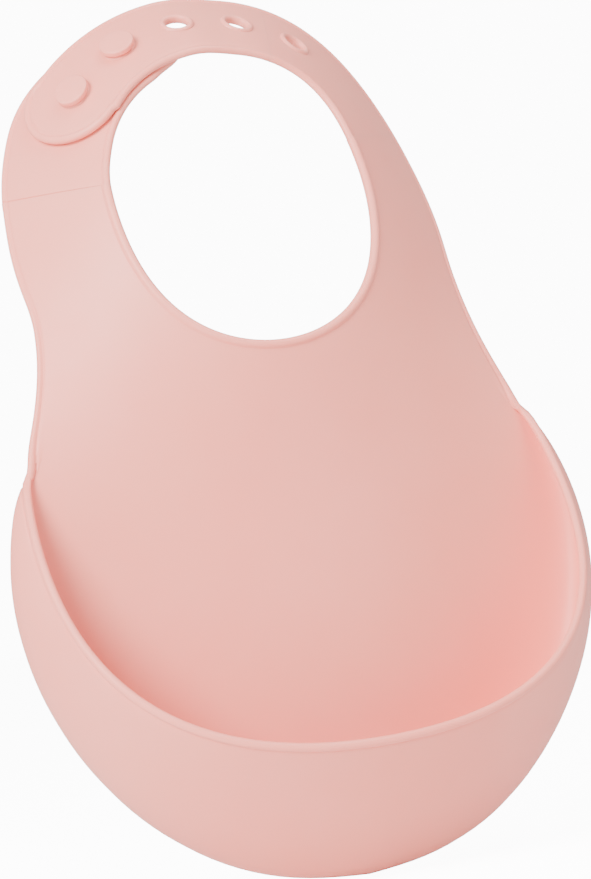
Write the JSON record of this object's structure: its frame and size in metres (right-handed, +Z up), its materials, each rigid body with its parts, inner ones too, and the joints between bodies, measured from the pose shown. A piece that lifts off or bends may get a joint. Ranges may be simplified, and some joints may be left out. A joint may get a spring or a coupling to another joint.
{
  "type": "silicone bib",
  "caption": "Soft one-piece bib with a curved chest panel, a deep catch pouch and a neck strap that studs through eyelets.",
  "frame": {"origin": "centre-front neck point, the lowest point of the neckline, in the middle of the sheet", "axes": "+Z up the chest to the back of the neck, -Y out of the front, +X to the right as seen from the front"},
  "size_m": [0.2093, 0.1175, 0.3239],
  "materials": {
    "chest_sheet": "satin pale pink silicone",
    "pouch_sheet": "satin pale pink silicone",
    "beads": "satin pale pink silicone",
    "studs": "satin pale pink silicone",
    "eyelets": "satin pale pink silicone",
    "straps": "satin pale pink silicone"
  },
  "bodies": {
    "bib": {"bib_panel": "chest_sheet", "right_shoulder": "chest_sheet", "left_shoulder": "chest_sheet", "pouch_wall_right": "pouch_sheet", "pouch_wall_front": "pouch_sheet", "pouch_wall_left": "pouch_sheet", "pouch_rim": "beads", "neckline_bead": "beads", "right_side_bead": "beads", "left_side_bead": "beads", "stud_strap_hinge_band": "straps", "hole_strap_hinge_band": "straps"},
    "stud_strap": {"stud_strap": "straps", "stud_strap_bead": "beads", "stud_1": "studs", "stud_2": "studs"},
    "hole_strap": {"hole_strap": "straps", "hole_strap_bead": "beads", "hole_strap_curl_band": "straps", "eyelet_4": "eyelets", "eyelet_5": "eyelets"},
    "hole_strap_end": {"hole_strap_end": "straps", "hole_strap_end_bead": "beads", "eyelet_1": "eyelets", "eyelet_2": "eyelets", "eyelet_3": "eyelets"}
  },
  "joints": [
    {"name": "hole_strap_lift", "type": "hinge", "parent": "bib", "child": "hole_strap", "pos_m": [0.05854, 0.04096, 0.0844], "axis": [0.6177, 0.7676, 0.1708], "range_deg": [0, 75], "stiffness_Nm_per_rad": 0.4, "deforming": ["hole_strap_hinge_band", "eyelet_1", "eyelet_2"]},
    {"name": "hole_strap_curl", "type": "hinge", "parent": "hole_strap", "child": "hole_strap_end", "pos_m": [0.00574, 0.04163, 0.12266], "axis": [0.032, 0.7709, 0.6361], "range_deg": [0, 40], "deforming": ["hole_strap_curl_band"]},
    {"name": "stud_strap_flex", "type": "hinge", "parent": "bib", "child": "stud_strap", "pos_m": [-0.05966, 0.03717, 0.07497], "axis": [-0.6417, 0.7536, 0.1428], "range_deg": [0, 35], "stiffness_Nm_per_rad": 0.2, "deforming": ["stud_strap_hinge_band"]}
  ],
  "couplings": [
    {"joint": "hole_strap_curl", "follows": "hole_strap_lift", "ratio": 0.5}
  ]
}
